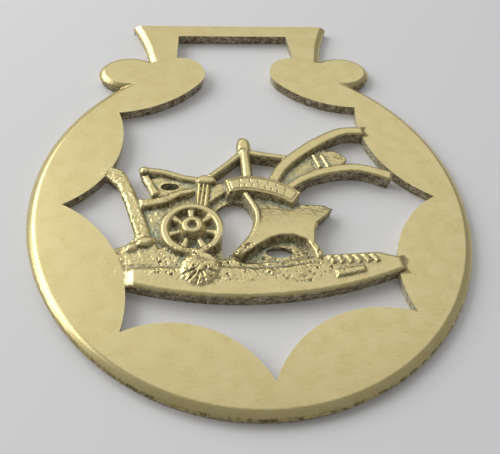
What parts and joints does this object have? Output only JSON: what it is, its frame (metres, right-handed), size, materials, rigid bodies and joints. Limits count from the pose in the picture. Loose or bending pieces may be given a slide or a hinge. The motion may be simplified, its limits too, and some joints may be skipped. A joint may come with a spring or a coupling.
{
  "type": "horse brass",
  "caption": "Cast brass harness ornament: a flat scalloped ring with a strap hanger and an open relief of a plough across its middle.",
  "frame": {"origin": "centre of the bounding box at the flat back, on the surface the brass lies on", "axes": "+Z out of the face, +Y from the ring towards the strap hanger, +X to the right of someone who faces the brass with the hanger up"},
  "size_m": [0.078, 0.089, 0.0042],
  "materials": {
    "brass": "hand-polished cast brass, worn bright on the high faces, sandy and dull with old polish in the hollows"
  },
  "bodies": {
    "root": {"horse_brass": "brass"}
  },
  "joints": []
}
